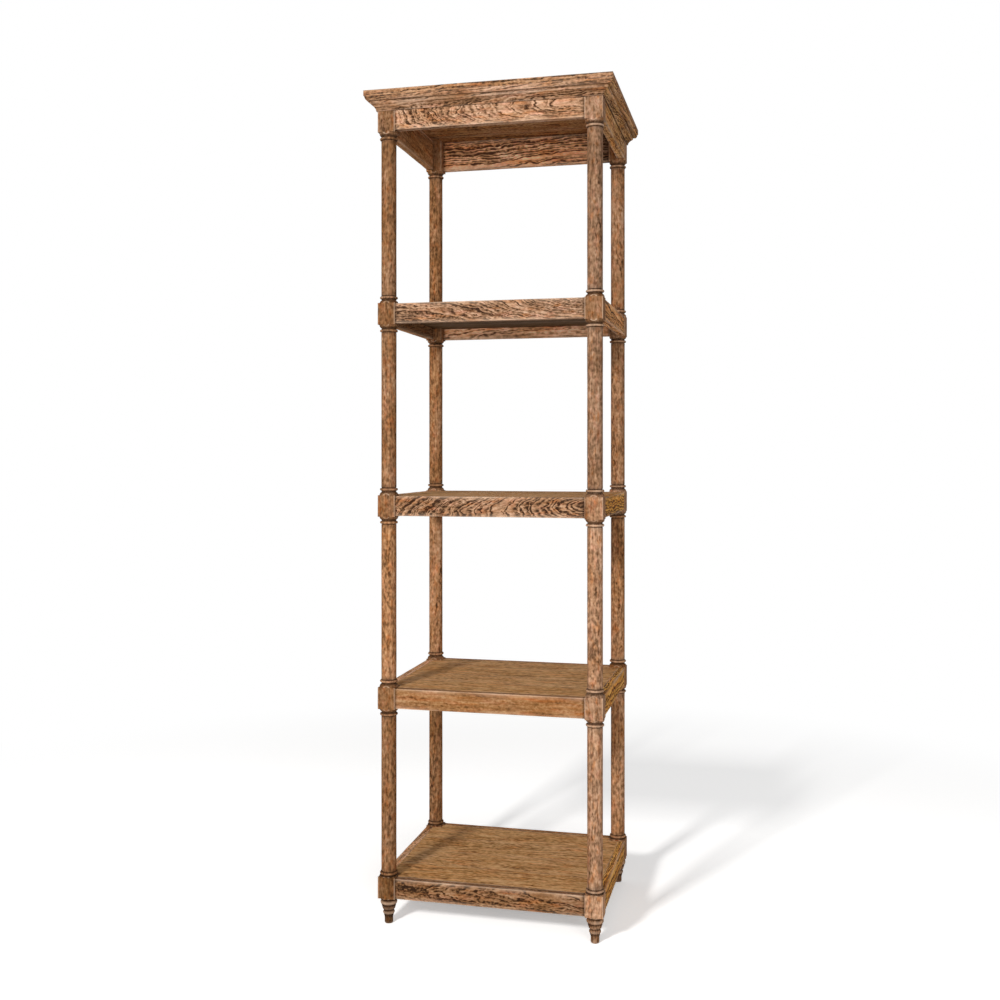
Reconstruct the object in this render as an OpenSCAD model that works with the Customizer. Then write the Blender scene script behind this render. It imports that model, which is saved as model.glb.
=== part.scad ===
// Tall open shelving unit in oak: turned corner columns stand between square
// corner blocks, rails join the blocks at five levels, four boards lie inside the
// rails with their tongues in the rails' grooves, and a moulded cornice goes round the top.
// The origin is on the floor, midway between the four feet. +Z is up and -Y is the front.

/* [Plan] */
// Distance between the centre lines of the left and right posts
span_x = 525; // [420:5:700]
// Distance between the centre lines of the front and back posts
span_y = 415; // [320:5:560]

/* [Corner blocks] */
// Width of the square corner blocks
block_w = 45; // [43:1:56]
// Height of the square part of a block beside a shelf
block_h = 55; // [48:1:80]
// Height of the turned shoulder at each end of a block beside a shelf
shoulder_h = 10.5; // [7:0.5:16]
// Height of the square part of the lowest blocks
base_block_h = 54; // [48:1:80]
// Height of the short shoulders on the lowest blocks
base_shoulder_h = 4; // [3:0.5:9]
// Height of the square part of the blocks behind the cornice
frieze_block_h = 85.5; // [70:0.5:120]
// Diameter of a shoulder where it leaves the square
shoulder_d = 47; // [46:0.5:57]
// Radius of the curve that rounds a shoulder over
shoulder_curve_r = 8; // [7.5:0.5:12]
// Height of the straight neck at the end of a shoulder
neck_h = 2.5; // [1:0.5:2.5]
// Diameter of that neck
neck_d = 37; // [30:0.5:39]

/* [Columns] */
// Length of a column between two blocks, without its spigots
column_l = 407; // [300:1:480]
// Diameter of a column
column_d = 38; // [32:0.5:41]
// Diameter over the bead at each end of a column
bead_d = 45; // [42:0.5:48]
// Height of that bead
bead_h = 7; // [5:0.5:9]
// Height of the groove cut beside a bead
groove_h = 1.6; // [1:0.1:3]
// Depth of the groove cut beside a bead
groove_depth = 1.2; // [0.6:0.1:2]
// Diameter of the round spigot that enters a block
spigot_d = 18; // [14:0.5:20]
// Length of the round spigot
spigot_l = 22; // [16:0.5:24]

/* [Feet] */
// Height of a turned foot
foot_h = 62; // [56:1:80]
// Diameter of the neck under the block
foot_neck_d = 34; // [26:0.5:38]
// Height of the neck under the block
foot_neck_h = 1.5; // [1:0.5:8]
// Diameter over the large ring
foot_ring_d = 42.5; // [38:0.5:46]
// Height of the large ring
foot_ring_h = 13; // [6:0.5:14]
// Diameter of the taper where it leaves the large ring
foot_taper_top_d = 37; // [33:0.5:38]
// Diameter of the taper at its foot
foot_taper_low_d = 31; // [28:0.5:33]
// Height of the taper
foot_taper_h = 11; // [5:0.5:12]
// Diameter of the waist between the taper and the small ring
foot_waist_d = 25; // [22:0.5:28]
// Height of the waist
foot_waist_h = 3; // [1:0.5:4]
// Diameter over the small ring
foot_bead_d = 29.5; // [28:0.5:34]
// Height of the small ring
foot_bead_h = 11; // [6:0.5:12]
// Diameter of the tip
foot_tip_d = 21; // [18:0.5:22]
// Height of the straight tip
foot_tip_h = 15; // [8:0.5:18]
// Radius that rounds the tip where it meets the floor
foot_round_r = 3; // [1:0.5:4]
// Diameter of the steel stud between a foot and its block
stud_d = 8; // [6:0.5:10]
// Length of the stud on each side of the joint
stud_l = 20; // [14:0.5:22]

/* [Rails] */
// Thickness of a rail
rail_t = 20; // [16:0.5:22]
// Height of a rail beside a shelf
rail_h = 50; // [42:1:52]
// Height of a frieze rail behind the cornice
frieze_rail_h = 80.5; // [64:0.5:84]
// How far the face of a rail lies behind the face of a block
rail_setback = 1.5; // [0.5:0.5:3]
// How far the top of a rail lies below the square top of a block
rail_drop = 2; // [1:0.5:3]
// Thickness of the tenon at each end of a rail
tenon_t = 8; // [6:0.5:9]
// Shoulder over and under the tenon of a rail
tenon_shoulder = 10; // [6:0.5:14]
// Wood left between a rail tenon and a column spigot
tenon_wall = 3; // [2:0.5:4]

/* [Boards] */
// Thickness of a shelf board
board_t = 20; // [16:0.5:24]
// Width of the joint between a shelf board and what is round it
board_joint = 0.6; // [0.3:0.1:1]
// Thickness of the tongue round a shelf board
tongue_t = 6; // [4:0.5:8]
// How far the tongue enters a rail
tongue_l = 7; // [4:0.5:9]
// Thickness of the top board
top_t = 14; // [12:0.5:20]
// How far the top board stands out past the corner blocks
top_reach = 28; // [26:0.5:40]

/* [Cornice] */
// Projection of the moulding at its top, past the corner blocks
ovolo_reach = 26; // [24:0.5:26]
// Height of the convex upper member
ovolo_h = 10; // [8:0.5:12]
// Projection of the fillet below it
fillet_reach = 15; // [14:0.5:17]
// Height of the fillet
fillet_h = 6; // [3:0.5:8]
// Height of the hollow lower member
cove_h = 14; // [12:0.5:18]
// Projection of the bottom edge
cornice_foot_reach = 3; // [2:0.5:4]
// Height of the bottom edge
cornice_foot_h = 3; // [2:0.5:5]
// Radius of the convex member
ovolo_r = 14; // [13:0.5:18]
// Radius of the hollow
cove_r = 26; // [20:0.5:40]

/* [Dowels] */
// Diameter of the dowels under the top board
dowel_d = 8; // [6:0.5:9]
// How deep a dowel enters the top board
dowel_up = 9; // [6:0.5:10]
// How deep a dowel enters a block or a rail
dowel_down = 15; // [10:0.5:20]

/* [Fits] */
// Glue space all round a tenon, tongue, spigot or dowel
glue_gap = 0.2; // [0.1:0.05:0.3]
// Space left at the blind end of a hole or groove
end_gap = 1; // [0.5:0.5:2]
// Width of the eased edges on square timber
ease = 1; // [0.4:0.1:1.2]

/* [Hidden] */
$fn = 64;
over = 5; // overrun of every cut

FRONT_LEFT = [-1, -1];
FRONT_RIGHT = [1, -1];
BACK_LEFT = [-1, 1];
BACK_RIGHT = [1, 1];
CORNERS = [FRONT_LEFT, FRONT_RIGHT, BACK_LEFT, BACK_RIGHT];

oak = [0.60, 0.44, 0.31];
column_oak = [0.62, 0.44, 0.30];
board_oak = [0.57, 0.44, 0.29];
steel = [0.62, 0.63, 0.65];

// Heights of the joints, counted from the floor
block_total = block_h + 2 * shoulder_h;
base_total = base_block_h + 2 * base_shoulder_h;
tier = column_l + block_total;
first_column_z = foot_h + base_total;
frieze_z = first_column_z + 3 * tier + column_l;
top_z = frieze_z + shoulder_h + frieze_block_h;

// Level 1 is the lowest shelf and level 4 the highest
function column_z(level) = first_column_z + (level - 1) * tier;
function block_z(level) = level == 1 ? foot_h : column_z(level) - block_total;
function square_top(level) = column_z(level) - (level == 1 ? base_shoulder_h : shoulder_h);
function rail_top(level) = square_top(level) - rail_drop;
function board_under(level) = rail_top(level) - board_t;

// Places across the plan, counted outwards from the centre
block_x = span_x / 2;
block_y = span_y / 2;
rail_x = block_x + block_w / 2 - rail_setback - rail_t / 2;
rail_y = block_y + block_w / 2 - rail_setback - rail_t / 2;
rail_len_x = span_x - block_w;
rail_len_y = span_y - block_w;
rail_axis = block_w / 2 - rail_setback - rail_t / 2;
tenon_l = block_w / 2 - spigot_d / 2 - glue_gap - tenon_wall;
face_x = block_x + block_w / 2;
face_y = block_y + block_w / 2;
board_x = 2 * (rail_x - rail_t / 2 - board_joint);
board_y = 2 * (rail_y - rail_t / 2 - board_joint);
tongue_reach = board_joint + tongue_l;
cornice_h = ovolo_h + fillet_h + cove_h + cornice_foot_h;

// Rectangle, centred, whose four corners are cut off by the eased edge
module eased_rectangle(w, h) {
    x = w / 2;
    y = h / 2;
    polygon([
        [x - ease, -y], [x, ease - y], [x, y - ease], [x - ease, y],
        [ease - x, y], [-x, y - ease], [-x, ease - y], [ease - x, -y]
    ]);
}

// Bar along X, centred on its length and its section, with eased long edges
module bar_x(l, w, h) {
    translate([-l / 2, 0, 0]) rotate([90, 0, 90]) linear_extrude(l) eased_rectangle(w, h);
}

// The same bar along Y
module bar_y(l, w, h) {
    rotate([0, 0, 90]) bar_x(l, w, h);
}

// Ring with a round edge, from z = 0 up to z = h
module ring(d, h) {
    cylinder(d = d - h, h = h);
    translate([0, 0, h / 2]) rotate_extrude() translate([d / 2 - h / 2, 0]) circle(d = h);
}

// Shoulder turned on the end of a square, growing up from the square
module shoulder(h) {
    core_r = shoulder_d / 2 - shoulder_curve_r;
    rotate_extrude() translate([core_r, 0]) intersection() {
        square([shoulder_curve_r, h - neck_h]);
        circle(r = shoulder_curve_r);
    }
    cylinder(r = core_r, h = h - neck_h);
    cylinder(d = neck_d, h = h);
}

// Square block with its shoulders, standing on z = 0
module block_body(square_h, low_h, high_h) {
    translate([0, 0, low_h]) linear_extrude(square_h) eased_rectangle(block_w, block_w);
    intersection() {
        linear_extrude(low_h + square_h + high_h) eased_rectangle(block_w, block_w);
        union() {
            if (low_h > 0) translate([0, 0, low_h]) mirror([0, 0, 1]) shoulder(low_h);
            if (high_h > 0) translate([0, 0, low_h + square_h]) shoulder(high_h);
        }
    }
}

// Mortises for the two rails that meet in a block, for the corner whose signs are given
module mortises(corner, rail_low, rail_height) {
    tall = rail_height - 2 * tenon_shoulder + 2 * glue_gap;
    wide = tenon_t + 2 * glue_gap;
    deep = tenon_l + glue_gap + over;
    low = rail_low + tenon_shoulder - glue_gap;
    inner = block_w / 2 - tenon_l - glue_gap;
    translate([-corner[0] * (inner + deep / 2), corner[1] * rail_axis, low + tall / 2])
        cube([deep, wide, tall], center = true);
    translate([corner[0] * rail_axis, -corner[1] * (inner + deep / 2), low + tall / 2])
        cube([wide, deep, tall], center = true);
}

// Blind hole for a spigot, dowel or stud, going up from z = 0
module socket(d, depth) {
    translate([0, 0, -over]) cylinder(d = d + 2 * glue_gap, h = depth + end_gap + over);
}

// The same hole going down from z = 0
module socket_down(d, depth) {
    mirror([0, 0, 1]) socket(d, depth);
}

// Places one copy at each post, and passes on which corner it is
module at_corners() {
    for (corner = CORNERS) {
        $corner = corner;
        translate([corner[0] * block_x, corner[1] * block_y, 0]) children();
    }
}

module corner_blocks(level) {
    square_h = level == 1 ? base_block_h : block_h;
    end_h = level == 1 ? base_shoulder_h : shoulder_h;
    total = square_h + 2 * end_h;
    bottom = block_z(level);
    color(oak) at_corners() difference() {
        translate([0, 0, bottom]) block_body(square_h, end_h, end_h);
        mortises($corner, rail_top(level) - rail_h, rail_h);
        translate([0, 0, bottom + total]) socket_down(spigot_d, spigot_l);
        if (level == 1) translate([0, 0, bottom]) socket(stud_d, stud_l);
        else translate([0, 0, bottom]) socket(spigot_d, spigot_l);
    }
}

module corner_blocks_frieze() {
    color(oak) at_corners() difference() {
        translate([0, 0, frieze_z]) block_body(frieze_block_h, shoulder_h, 0);
        mortises($corner, top_z - frieze_rail_h, frieze_rail_h);
        translate([0, 0, frieze_z]) socket(spigot_d, spigot_l);
        translate([0, 0, top_z]) socket_down(dowel_d, dowel_down);
    }
}

// Cutter for the groove beside a bead, from z = 0 up
module groove() {
    difference() {
        cylinder(d = bead_d + over, h = groove_h);
        cylinder(d = column_d - 2 * groove_depth, h = groove_h);
    }
}

module column(corner, level) {
    color(column_oak) translate([corner[0] * block_x, corner[1] * block_y, column_z(level)]) {
        difference() {
            union() {
                cylinder(d = column_d, h = column_l);
                ring(bead_d, bead_h);
                translate([0, 0, column_l - bead_h]) ring(bead_d, bead_h);
            }
            translate([0, 0, bead_h]) groove();
            translate([0, 0, column_l - bead_h - groove_h]) groove();
        }
        translate([0, 0, -spigot_l]) cylinder(d = spigot_d, h = column_l + 2 * spigot_l);
    }
}

// Turned foot: neck, large ring, taper, waist, small ring, taper and tip
module foot(corner) {
    ring_z = foot_h - foot_neck_h - foot_ring_h;
    taper_z = ring_z - foot_taper_h;
    bead_z = taper_z - foot_waist_h - foot_bead_h;
    color(oak) translate([corner[0] * block_x, corner[1] * block_y, 0]) difference() {
        union() {
            translate([0, 0, ring_z]) cylinder(d = foot_neck_d, h = foot_h - ring_z);
            translate([0, 0, ring_z]) ring(foot_ring_d, foot_ring_h);
            translate([0, 0, taper_z])
                cylinder(d1 = foot_taper_low_d, d2 = foot_taper_top_d, h = foot_taper_h);
            translate([0, 0, bead_z]) cylinder(d = foot_waist_d, h = taper_z - bead_z);
            translate([0, 0, bead_z]) ring(foot_bead_d, foot_bead_h);
            translate([0, 0, foot_tip_h])
                cylinder(d1 = foot_tip_d, d2 = foot_waist_d, h = bead_z - foot_tip_h);
            foot_tip();
        }
        translate([0, 0, foot_h]) socket_down(stud_d, stud_l);
    }
}

// Straight tip with a rounded edge on the floor
module foot_tip() {
    cylinder(r = foot_tip_d / 2 - foot_round_r, h = foot_tip_h);
    translate([0, 0, foot_round_r]) {
        cylinder(d = foot_tip_d, h = foot_tip_h - foot_round_r);
        rotate_extrude() translate([foot_tip_d / 2 - foot_round_r, 0]) circle(r = foot_round_r);
    }
}

module foot_studs() {
    color(steel) at_corners() translate([0, 0, foot_h - stud_l]) cylinder(d = stud_d, h = 2 * stud_l);
}

// Rail along X, centred, with a tenon at each end; its top is at z = 0
module rail_body(l, height) {
    translate([0, 0, -height / 2]) {
        bar_x(l, rail_t, height);
        cube([l + 2 * tenon_l, tenon_t, height - 2 * tenon_shoulder], center = true);
    }
}

// Groove for a board's tongue along the inner face of a rail, whose inside is towards +Y
module groove_for_tongue(l) {
    deep = tongue_l + end_gap;
    translate([0, rail_t / 2 - deep / 2 + over / 2, -board_t / 2])
        cube([l, deep + over, tongue_t + 2 * glue_gap], center = true);
}

module shelf_rail(l) {
    difference() {
        rail_body(l, rail_h);
        groove_for_tongue(l);
    }
}

module rail_x_at(side, level) {
    color(oak) translate([0, side * rail_y, rail_top(level)]) mirror([0, side > 0 ? 1 : 0, 0])
        shelf_rail(rail_len_x);
}

module rail_y_at(side, level) {
    color(oak) translate([side * rail_x, 0, rail_top(level)]) rotate([0, 0, side * 90])
        shelf_rail(rail_len_y);
}

// Frieze rail with the hole for its dowel in the middle of its top edge
module frieze_body(l) {
    difference() {
        rail_body(l, frieze_rail_h);
        socket_down(dowel_d, dowel_down);
    }
}

module frieze_x(side) {
    color(oak) translate([0, side * rail_y, top_z]) frieze_body(rail_len_x);
}

module frieze_y(side) {
    color(oak) translate([side * rail_x, 0, top_z]) rotate([0, 0, 90]) frieze_body(rail_len_y);
}

// Board that lies inside the rails, notched round the four blocks, with a tongue on each side
module shelf_board(level) {
    color(board_oak) translate([0, 0, board_under(level)]) {
        linear_extrude(board_t) difference() {
            square([board_x, board_y], center = true);
            for (corner = CORNERS)
                translate([corner[0] * block_x, corner[1] * block_y])
                    square(block_w + 2 * board_joint, center = true);
        }
        translate([0, 0, board_t / 2]) {
            cube([rail_len_x - 2 * board_joint, board_y + 2 * tongue_reach, tongue_t], center = true);
            cube([board_x + 2 * tongue_reach, rail_len_y - 2 * board_joint, tongue_t], center = true);
        }
    }
}

// Places one copy over each corner block and over the middle of each frieze rail
module at_dowels() {
    at_corners() children();
    for (side = [-1, 1]) {
        translate([0, side * rail_y, 0]) children();
        translate([side * rail_x, 0, 0]) children();
    }
}

module top_board() {
    wide = 2 * (face_x + top_reach);
    deep = 2 * (face_y + top_reach);
    color(board_oak) difference() {
        translate([0, 0, top_z + top_t / 2]) intersection() {
            bar_x(wide, deep, top_t);
            bar_y(deep, wide, top_t);
        }
        translate([0, 0, top_z]) at_dowels() socket(dowel_d, dowel_up);
    }
}

module top_dowels() {
    color(board_oak) translate([0, 0, top_z - dowel_down]) at_dowels()
        cylinder(d = dowel_d, h = dowel_down + dowel_up);
}

// Section of the cornice without its convex member: x is the distance from the
// block's face and y the height above the underside of the top board
module cornice_core() {
    fillet_low = ovolo_h + fillet_h;
    cove_low = fillet_low + cove_h;
    difference() {
        polygon([
            [0, 0], [fillet_reach, 0], [fillet_reach, -fillet_low],
            [cornice_foot_reach, -cove_low], [cornice_foot_reach, -cornice_h], [0, -cornice_h]
        ]);
        cove_cut();
    }
}

// Circle that hollows the slope between the fillet and the bottom edge
module cove_cut() {
    run = fillet_reach - cornice_foot_reach;
    chord = sqrt(run * run + cove_h * cove_h);
    away = sqrt(cove_r * cove_r - chord * chord / 4);
    middle = [cornice_foot_reach + run / 2, -ovolo_h - fillet_h - cove_h / 2];
    translate([middle[0] + away * cove_h / chord, middle[1] - away * run / chord]) circle(r = cove_r);
}

// Convex member under the top board
module cornice_ovolo() {
    intersection() {
        translate([0, -ovolo_h]) square([ovolo_reach, ovolo_h]);
        translate([ovolo_reach - ovolo_r, 0]) circle(r = ovolo_r);
    }
}

// Straight moulding of the given length along X, facing -Y, with its back at y = 0
module moulding(l) {
    translate([-l / 2, 0, 0]) rotate([90, 0, 90]) {
        linear_extrude(l) mirror([1, 0]) cornice_core();
        linear_extrude(l) mirror([1, 0]) cornice_ovolo();
    }
}

// Length of moulding for the side whose half width and distance are given, facing -Y,
// with both ends cut to the mitre
module cornice_length(half, distance) {
    long = half + top_reach;
    translate([0, 0, top_z]) intersection() {
        translate([0, -distance, 0]) moulding(2 * long);
        translate([0, 0, -cornice_h - over]) linear_extrude(cornice_h + 2 * over)
            polygon([
                [-half, -distance], [half, -distance],
                [long, -distance - top_reach], [-long, -distance - top_reach]
            ]);
    }
}

module cornice_x(side) {
    color(oak) rotate([0, 0, side > 0 ? 180 : 0]) cornice_length(face_x, face_y);
}

module cornice_y(side) {
    color(oak) rotate([0, 0, side * 90]) cornice_length(face_y, face_x);
}

foot(FRONT_LEFT);  // foot_front_left
foot(FRONT_RIGHT);  // foot_front_right
foot(BACK_LEFT);  // foot_back_left
foot(BACK_RIGHT);  // foot_back_right
foot_studs();
corner_blocks(1);  // corner_blocks_1
corner_blocks(2);  // corner_blocks_2
corner_blocks(3);  // corner_blocks_3
corner_blocks(4);  // corner_blocks_4
corner_blocks_frieze();
column(FRONT_LEFT, 1);  // column_front_left_1
column(FRONT_LEFT, 2);  // column_front_left_2
column(FRONT_LEFT, 3);  // column_front_left_3
column(FRONT_LEFT, 4);  // column_front_left_4
column(FRONT_RIGHT, 1);  // column_front_right_1
column(FRONT_RIGHT, 2);  // column_front_right_2
column(FRONT_RIGHT, 3);  // column_front_right_3
column(FRONT_RIGHT, 4);  // column_front_right_4
column(BACK_LEFT, 1);  // column_back_left_1
column(BACK_LEFT, 2);  // column_back_left_2
column(BACK_LEFT, 3);  // column_back_left_3
column(BACK_LEFT, 4);  // column_back_left_4
column(BACK_RIGHT, 1);  // column_back_right_1
column(BACK_RIGHT, 2);  // column_back_right_2
column(BACK_RIGHT, 3);  // column_back_right_3
column(BACK_RIGHT, 4);  // column_back_right_4
rail_x_at(-1, 1);  // rail_front_1
rail_x_at(-1, 2);  // rail_front_2
rail_x_at(-1, 3);  // rail_front_3
rail_x_at(-1, 4);  // rail_front_4
rail_x_at(1, 1);  // rail_back_1
rail_x_at(1, 2);  // rail_back_2
rail_x_at(1, 3);  // rail_back_3
rail_x_at(1, 4);  // rail_back_4
rail_y_at(-1, 1);  // rail_left_1
rail_y_at(-1, 2);  // rail_left_2
rail_y_at(-1, 3);  // rail_left_3
rail_y_at(-1, 4);  // rail_left_4
rail_y_at(1, 1);  // rail_right_1
rail_y_at(1, 2);  // rail_right_2
rail_y_at(1, 3);  // rail_right_3
rail_y_at(1, 4);  // rail_right_4
frieze_x(-1);  // frieze_rail_front
frieze_x(1);  // frieze_rail_back
frieze_y(-1);  // frieze_rail_left
frieze_y(1);  // frieze_rail_right
shelf_board(1);  // shelf_board_1
shelf_board(2);  // shelf_board_2
shelf_board(3);  // shelf_board_3
shelf_board(4);  // shelf_board_4
top_board();
cornice_x(-1);  // cornice_front
cornice_x(1);  // cornice_back
cornice_y(-1);  // cornice_left
cornice_y(1);  // cornice_right
top_dowels();
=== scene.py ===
# %% [markdown]
# # An open shelving unit in weathered oak
# This lesson dresses the packed model of a tall open shelving unit. Its posts are built up
# from turned columns and square blocks, rails join the blocks, boards lie inside the rails,
# and a moulded cornice goes round the top. The sizes all come from the packed model, so that
# each piece made here lies exactly where its solid does.

# %% Load the packed model
import math

import bmesh
import bpy
import numpy as np
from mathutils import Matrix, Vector


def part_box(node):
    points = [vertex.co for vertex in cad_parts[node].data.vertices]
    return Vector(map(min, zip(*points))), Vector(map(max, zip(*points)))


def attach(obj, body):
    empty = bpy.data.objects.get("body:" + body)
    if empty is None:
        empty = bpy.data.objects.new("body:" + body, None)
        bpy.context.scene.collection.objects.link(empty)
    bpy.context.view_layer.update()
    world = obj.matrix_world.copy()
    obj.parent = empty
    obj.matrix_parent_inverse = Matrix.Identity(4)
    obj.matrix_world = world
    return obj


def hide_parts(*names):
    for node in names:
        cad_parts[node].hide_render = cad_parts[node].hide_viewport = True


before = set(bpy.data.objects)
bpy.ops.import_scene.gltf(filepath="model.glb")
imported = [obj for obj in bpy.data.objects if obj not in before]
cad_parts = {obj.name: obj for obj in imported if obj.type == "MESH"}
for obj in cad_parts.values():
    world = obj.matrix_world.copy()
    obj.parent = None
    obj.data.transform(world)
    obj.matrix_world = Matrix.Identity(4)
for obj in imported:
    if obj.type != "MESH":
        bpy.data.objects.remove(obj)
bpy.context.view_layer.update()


def rounded(values, places=4):
    """Numbers short enough to print."""
    return tuple(round(float(v), places) for v in values)


# %% [markdown]
# ## The camera
# The photograph was taken with a level camera a little over a metre above the floor, about
# three metres in front of the unit and to its right. A level camera keeps the posts upright.
# The frame is then moved up or down with the lens shift, as a studio photographer does,
# because tilting the camera would make the posts lean together.

# %% Camera
IMAGE_SIDE = 1000
SENSOR = 36.0
FOCAL_PIXELS = 1159.0
HORIZON_ROW = 454.3
CAMERA_PLACE = (0.689, -2.991, 1.182)
CAMERA_TURN = math.radians(13.40)


def new_object(name, data):
    """An object in the scene."""
    made = bpy.data.objects.new(name, data)
    bpy.context.scene.collection.objects.link(made)
    return made


lens = bpy.data.cameras.new("camera")
lens.sensor_width = SENSOR
lens.lens = SENSOR * FOCAL_PIXELS / IMAGE_SIDE
lens.shift_y = (HORIZON_ROW - IMAGE_SIDE / 2) / IMAGE_SIDE
camera = new_object("camera", lens)
camera.location = CAMERA_PLACE
camera.rotation_euler = (math.pi / 2, 0, CAMERA_TURN)
bpy.context.scene.camera = camera
print(f"lens {lens.lens:.2f} mm, shift {lens.shift_y:.4f}")

# %% [markdown]
# ## Where things are
# The packed solids say where each joint lies. A block fills the height between two columns,
# so a column that shows runs from the top of one block to the underside of the next. The
# spigots and tenons inside the joints can't be seen, so the pieces made here leave them out.

# %% Places read from the packed model
LEVELS = (1, 2, 3, 4)
SIDES = {"left": -1, "right": 1}
ENDS = {"front": -1, "back": 1}
ALL_SIDES = (*ENDS, *SIDES)
BLOCK = 0.045

block_nodes = [f"corner_blocks_{n}" for n in LEVELS] + ["corner_blocks_frieze"]
block_low = [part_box(n)[0].z for n in block_nodes]
block_high = [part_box(n)[1].z for n in block_nodes]
face_x, face_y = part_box(block_nodes[0])[1].x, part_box(block_nodes[0])[1].y
post_x, post_y = face_x - BLOCK / 2, face_y - BLOCK / 2
inner_x, inner_y = post_x - BLOCK / 2, post_y - BLOCK / 2
posts = {f"{end}_{side}": (xs * post_x, ys * post_y)
         for end, ys in ENDS.items() for side, xs in SIDES.items()}
print("posts at", rounded((post_x, post_y)), "blocks from", rounded(block_low))
print("blocks up to", rounded(block_high))

# %% [markdown]
# ## Grain that belongs to the tree
# Wood grain is not painted on: every board is a slice of a log, and the lines on its face are
# the log's year rings cut through. So each piece carries, at every point, its place in the
# log it was cut from: how far along the trunk, and how far out from the middle of it in two
# directions. A shader can then draw the rings as circles round the trunk, and straight grain,
# arches and end grain all come out by themselves. Tipping the trunk a little against the
# board gives the nested arches that flat-sawn oak is known for.

# %% Place in the log
def log_places(points, along, out, heart, tip=(0.0, 0.0), bow=0.0, start=0.0, growth=1.0):
    """Each point's place in its log: along the trunk, and sideways and outwards from its heart."""
    along, out = np.array(along, float), np.array(out, float)
    side = np.cross(out, along)
    middle = (points.min(axis=0) + points.max(axis=0)) / 2
    reach = points - middle
    run = reach @ along
    return np.column_stack([
        run + start,
        reach @ side - heart[0] - tip[0] * run,
        reach @ out - heart[1] - tip[1] * run - bow * run ** 2,
    ]) / growth


def drift(places, wave, seed):
    """Smooth values from -1 to 1 that wander along a piece, the same on every run."""
    phases = np.random.default_rng(seed).uniform(0, 2 * math.pi, 4)
    beats = (1.0, 1.7, 2.9, 4.3)
    turns = 2 * math.pi * np.asarray(places) / wave
    total = sum(np.sin(turns * b + p) / b for b, p in zip(beats, phases))
    return total / sum(1 / b for b in beats)


print("a drift at three places:", rounded(drift((0.0, 0.1, 0.2), 0.3, 1)))

# %% [markdown]
# A real log differs from the next one, and so do the pieces cut from it. Every such value is
# drawn from one row of random numbers with a fixed start, so the same wood grows on each run.

# %% Values drawn by chance
UP = (0, 0, 1)
LOG_LENGTH = 40.0
LAST_SEED = 9999
luck = np.random.default_rng(7)


def by_chance(*ranges):
    """One value from each range."""
    return tuple(luck.uniform(low, high) for low, high in ranges)


def new_seed():
    return int(luck.integers(1, LAST_SEED))


def new_start():
    return luck.uniform(0, LOG_LENGTH)


def upright_log(points, hearts, tips):
    """Places in a log that stands on end, turned, off centre and tipped by chance."""
    turn = luck.uniform(0, 2 * math.pi)
    out = (math.cos(turn), math.sin(turn), 0)
    return log_places(points, UP, out, by_chance(*hearts), by_chance(*tips), start=new_start())


print("each piece starts somewhere along", LOG_LENGTH, "m of log")

# %% [markdown]
# ## From parts to pieces
# A piece can be one body or several alike, such as the four blocks at one level. Each part is
# a small dictionary of points and faces, with three things painted on its points: the place
# in the log, the wear (dark glaze left in hollows, wood rubbed pale on edges) and the stain
# (how light, how warm, how strong the figure is). On some faces the stain's lightness also
# holds painted light and painted shade. The last step turns parts into one mesh and says
# which solid it stands for.

# %% Joining parts into a piece
FLAT_EDGE = math.radians(38)


def tube(points_by_row):
    """Quads between rows of points that each go once round, with a face over each end."""
    rows, columns, _ = points_by_row.shape
    faces = []
    for r in range(rows - 1):
        for c in range(columns):
            d = (c + 1) % columns
            faces.append((r * columns + c, r * columns + d,
                          (r + 1) * columns + d, (r + 1) * columns + c))
    faces.append(tuple(range(columns))[::-1])
    faces.append(tuple(range((rows - 1) * columns, rows * columns)))
    return points_by_row.reshape(-1, 3), faces


def around(centre, angles, reach, heights):
    """A tube from how far it reaches in each direction, at each height."""
    x, y = centre[0] + reach * np.cos(angles), centre[1] + reach * np.sin(angles)
    return tube(np.stack([x, y, np.repeat(heights[:, None], len(angles), axis=1)], axis=2))


def part(points, faces, log, glaze, rub, stain):
    """One body and what is painted on its points. The third value of wear isn't used."""
    wear = np.column_stack([glaze, rub, np.zeros(len(points))])
    stain = np.tile(stain, (len(points), 1))
    return {"points": points, "faces": faces, "log": log, "wear": wear, "stain": stain}


def make_piece(name, parts, stands_for):
    """One object from parts, riding on the unit in place of a solid."""
    first, faces = 0, []
    for p in parts:
        faces += [tuple(first + i for i in f) for f in p["faces"]]
        first += len(p["points"])
    mesh = bpy.data.meshes.new(name)
    mesh.from_pydata(np.concatenate([p["points"] for p in parts]).tolist(), [], faces)
    shape = bmesh.new()
    shape.from_mesh(mesh)
    bmesh.ops.recalc_face_normals(shape, faces=shape.faces[:])
    shape.to_mesh(mesh)
    shape.free()
    for kind in ("log", "wear", "stain"):
        layer = mesh.attributes.new(kind, "FLOAT_VECTOR", "POINT")
        values = np.concatenate([p[kind] for p in parts]).astype(np.float32)
        layer.data.foreach_set("vector", values.ravel())
    mesh.polygons.foreach_set("use_smooth", [True] * len(mesh.polygons))
    mesh.set_sharp_from_angle(angle=FLAT_EDGE)
    piece = new_object(name, mesh)
    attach(piece, "root")
    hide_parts(*stands_for)
    return piece


def face_count(pieces):
    return sum(len(p.data.polygons) for p in pieces)


print("edges sharper than", round(math.degrees(FLAT_EDGE)), "degrees stay crisp")

# %% [markdown]
# ## Turned columns
# A column is turned on a lathe: a chisel follows a profile while the wood spins. Here the
# profile is a list of radius and height, swept round in a circle. Each end has a round bead
# and a narrow groove beside it. Glaze stays in the groove and darkens it, and the crest of the
# bead is rubbed paler, so both are painted on the points as they are made. A turner's hand
# leaves the shaft very slightly uneven, which keeps its highlight from looking ruled.

# %% Sweep a profile round
TURNS = 48
UNEVEN_WAVE, OVAL_WAVE = 0.19, 0.31
BEAD_STEPS = 8
BEAD_GLAZE, CREST_RUB = 1.1, 4


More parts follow.
